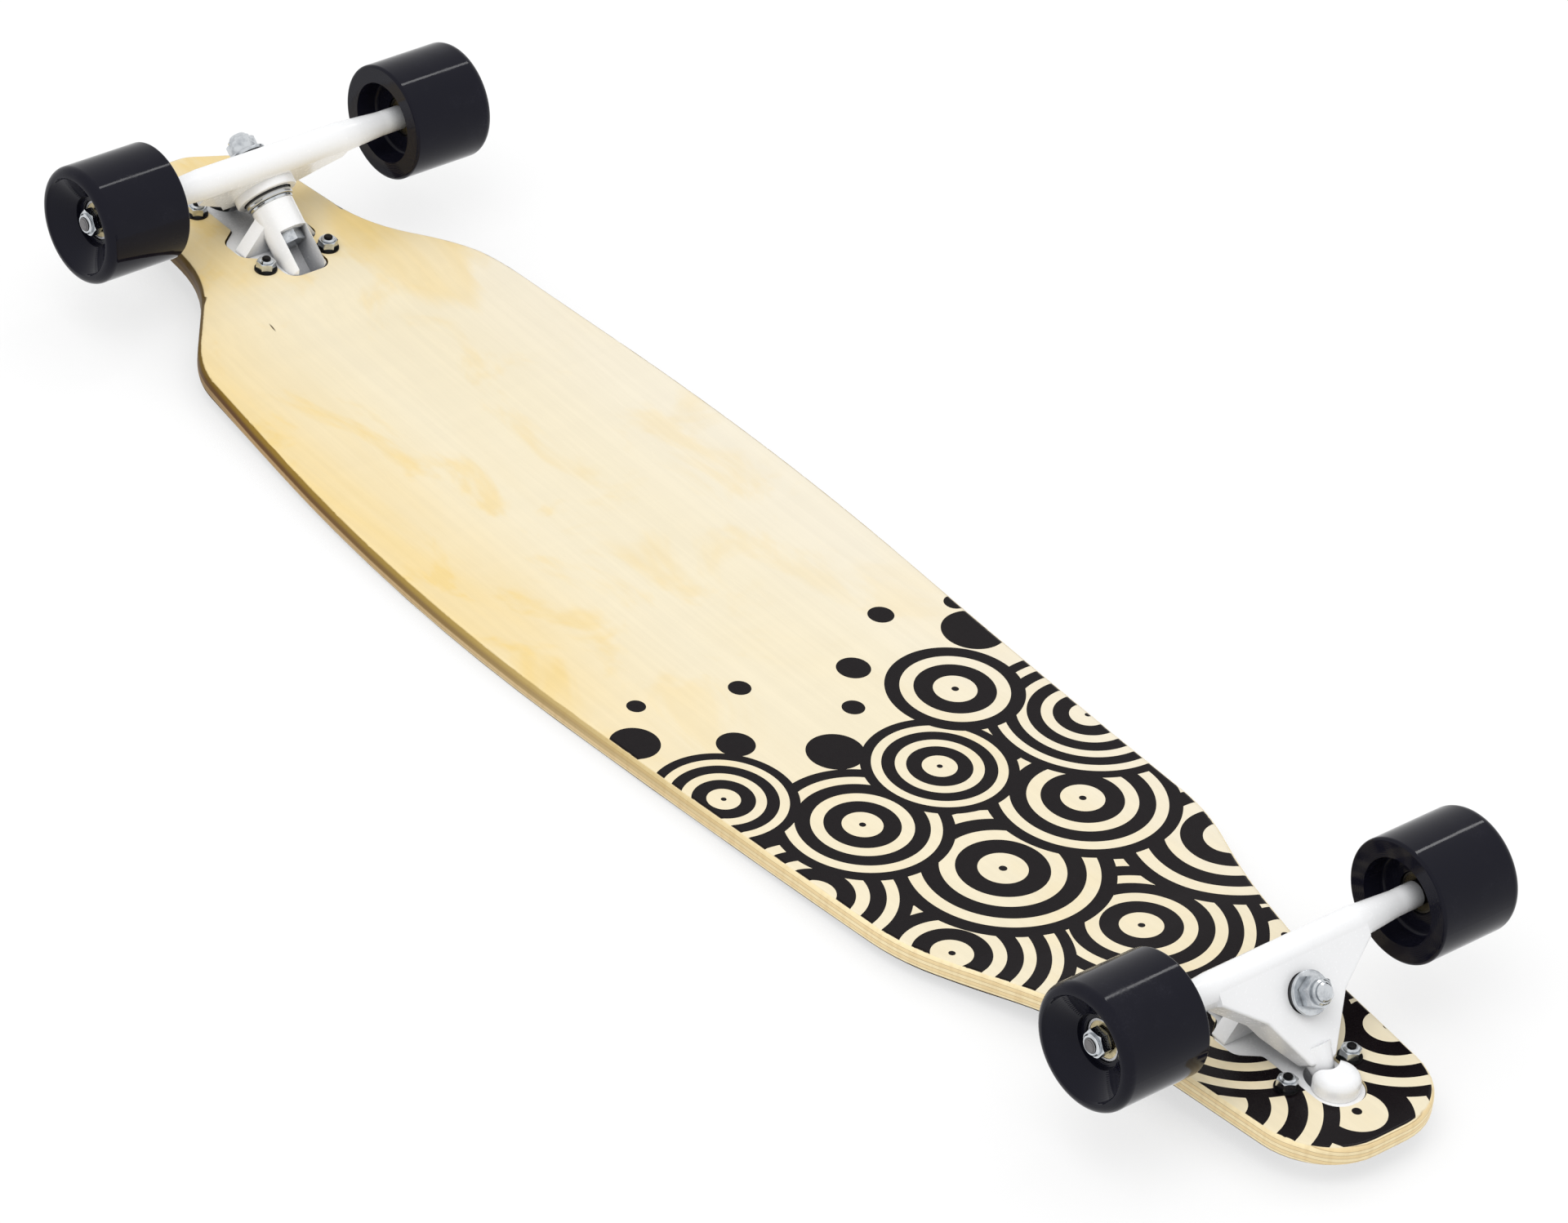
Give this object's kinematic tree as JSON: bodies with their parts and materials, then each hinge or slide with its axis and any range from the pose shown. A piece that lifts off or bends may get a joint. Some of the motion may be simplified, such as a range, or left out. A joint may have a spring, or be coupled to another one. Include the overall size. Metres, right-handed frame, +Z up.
{
  "type": "longboard skateboard",
  "caption": "Drop-through longboard skateboard: cambered wooden deck with grip tape, reverse-kingpin steering trucks let into slots in the deck, and smooth wide wheels on bearings.",
  "frame": {"origin": "on the ground below the middle of the deck, between the two axles", "axes": "+X along the board to the nose (the end with the printed pattern), +Y to the rider's left when facing the nose, +Z up with the wheels on the ground"},
  "size_m": [0.978, 0.2538, 0.1025],
  "materials": {
    "deck_wood": "clear-lacquered pale maple plywood with a printed black pattern on the underside",
    "grip_grit": "coarse black grit",
    "truck_white": "glossy white powder coat",
    "pivot_plastic": "matte",
    "bushing_urethane": "satin cast urethane",
    "zinc_hardware": "bright zinc plate",
    "black_hardware": "black oxide",
    "steel": "ground",
    "bearing_shield": "satin yellow-passivated",
    "wheel_urethane": "glossy cast urethane"
  },
  "bodies": {
    "board": {"deck": "deck_wood", "grip_tape": "grip_grit", "nose_baseplate": "truck_white", "nose_pivot_cup": "pivot_plastic", "nose_kingpin": "zinc_hardware", "nose_kingpin_nut": "zinc_hardware", "nose_kingpin_washers": "zinc_hardware", "nose_roadside_bushing": "bushing_urethane", "nose_boardside_bushing": "bushing_urethane", "nose_mounting_bolts": "black_hardware", "nose_mounting_nuts": "zinc_hardware", "nose_mounting_washers": "black_hardware", "tail_baseplate": "truck_white", "tail_pivot_cup": "pivot_plastic", "tail_kingpin": "zinc_hardware", "tail_kingpin_nut": "zinc_hardware", "tail_kingpin_washers": "zinc_hardware", "tail_roadside_bushing": "bushing_urethane", "tail_boardside_bushing": "bushing_urethane", "tail_mounting_bolts": "black_hardware", "tail_mounting_nuts": "zinc_hardware", "tail_mounting_washers": "black_hardware"},
    "nose_hanger_body": {"nose_hanger": "truck_white", "nose_axle": "steel", "nose_left_bearing_inner_rings": "steel", "nose_left_bearing_spacer": "steel", "nose_left_speed_washers": "steel", "nose_left_axle_nut": "zinc_hardware", "nose_right_bearing_inner_rings": "steel", "nose_right_bearing_spacer": "steel", "nose_right_speed_washers": "steel", "nose_right_axle_nut": "zinc_hardware"},
    "nose_left_wheel_body": {"nose_left_wheel": "wheel_urethane", "nose_left_bearing_outer_rings": "steel", "nose_left_bearing_shields": "bearing_shield"},
    "nose_right_wheel_body": {"nose_right_wheel": "wheel_urethane", "nose_right_bearing_outer_rings": "steel", "nose_right_bearing_shields": "bearing_shield"},
    "tail_hanger_body": {"tail_hanger": "truck_white", "tail_axle": "steel", "tail_left_bearing_inner_rings": "steel", "tail_left_bearing_spacer": "steel", "tail_left_speed_washers": "steel", "tail_left_axle_nut": "zinc_hardware", "tail_right_bearing_inner_rings": "steel", "tail_right_bearing_spacer": "steel", "tail_right_speed_washers": "steel", "tail_right_axle_nut": "zinc_hardware"},
    "tail_left_wheel_body": {"tail_left_wheel": "wheel_urethane", "tail_left_bearing_outer_rings": "steel", "tail_left_bearing_shields": "bearing_shield"},
    "tail_right_wheel_body": {"tail_right_wheel": "wheel_urethane", "tail_right_bearing_outer_rings": "steel", "tail_right_bearing_shields": "bearing_shield"}
  },
  "joints": [
    {"name": "nose_steer", "type": "hinge", "parent": "board", "child": "nose_hanger_body", "pos_m": [0.41409, 0, 0.04685], "axis": [0.6587, 0, 0.7524], "range_deg": [-14, 14], "stiffness_Nm_per_rad": 25, "deforming": ["nose_roadside_bushing", "nose_boardside_bushing"]},
    {"name": "tail_steer", "type": "hinge", "parent": "board", "child": "tail_hanger_body", "pos_m": [-0.41409, 0, 0.04685], "axis": [-0.6587, 0, 0.7524], "range_deg": [-14, 14], "stiffness_Nm_per_rad": 25, "deforming": ["tail_roadside_bushing", "tail_boardside_bushing"]},
    {"name": "nose_left_spin", "type": "hinge", "parent": "nose_hanger_body", "child": "nose_left_wheel_body", "pos_m": [0.4021, 0.1012, 0.0325], "axis": [0, 1, 0], "continuous": true},
    {"name": "nose_right_spin", "type": "hinge", "parent": "nose_hanger_body", "child": "nose_right_wheel_body", "pos_m": [0.4021, -0.1012, 0.0325], "axis": [0, 1, 0], "continuous": true},
    {"name": "tail_left_spin", "type": "hinge", "parent": "tail_hanger_body", "child": "tail_left_wheel_body", "pos_m": [-0.4021, 0.1012, 0.0325], "axis": [0, 1, 0], "continuous": true},
    {"name": "tail_right_spin", "type": "hinge", "parent": "tail_hanger_body", "child": "tail_right_wheel_body", "pos_m": [-0.4021, -0.1012, 0.0325], "axis": [0, 1, 0], "continuous": true}
  ]
}
